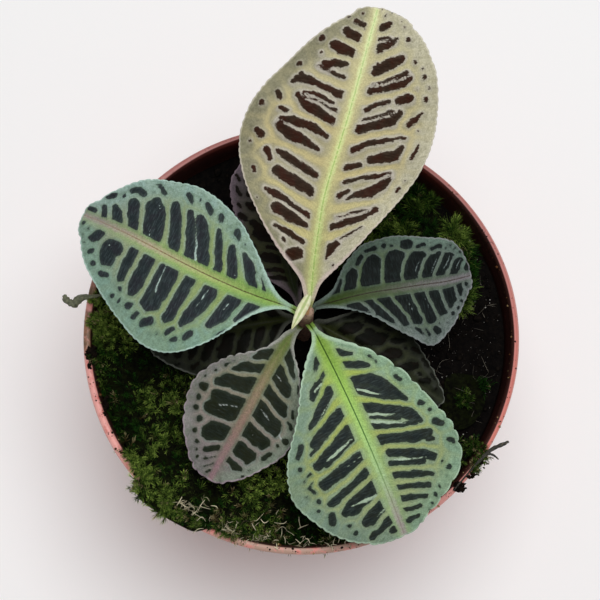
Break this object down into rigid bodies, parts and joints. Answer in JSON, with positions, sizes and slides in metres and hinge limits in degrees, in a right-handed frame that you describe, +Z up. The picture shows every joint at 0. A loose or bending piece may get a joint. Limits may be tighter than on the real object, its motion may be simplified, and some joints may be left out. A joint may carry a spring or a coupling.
{
  "type": "potted labisia",
  "caption": "Low rosette houseplant with net-patterned, scallop-edged oval leaves on a short stem, growing in mossy soil in a round tapered plastic nursery pot.",
  "frame": {"origin": "centre of the flat pad in the middle of the pot's underside, on the surface the pot stands on", "axes": "+Z up along the pot's axis; -Y towards the front; +X to the right; the largest leaf leans to the back (+Y)"},
  "size_m": [0.1251, 0.1359, 0.146],
  "materials": {
    "pot_plastic": "satin",
    "peat": "matte",
    "moss": "matte",
    "stem": "matte",
    "leaf_cream": "satin",
    "leaf_green": "satin",
    "leaf_old": "satin",
    "leaf_new": "satin",
    "litter": "matte"
  },
  "bodies": {
    "root": {"pot": "pot_plastic", "soil": "peat", "moss_front": "moss", "moss_back": "moss", "moss_right": "moss", "stem": "stem", "leaf_back": "leaf_cream", "leaf_left": "leaf_green", "leaf_front": "leaf_green", "leaf_right": "leaf_green", "leaf_front_left": "leaf_green", "leaf_low_back": "leaf_old", "leaf_low_right": "leaf_old", "leaf_low_left": "leaf_old", "leaf_furled": "leaf_new", "twig_left": "litter", "twig_right": "litter"}
  },
  "joints": []
}
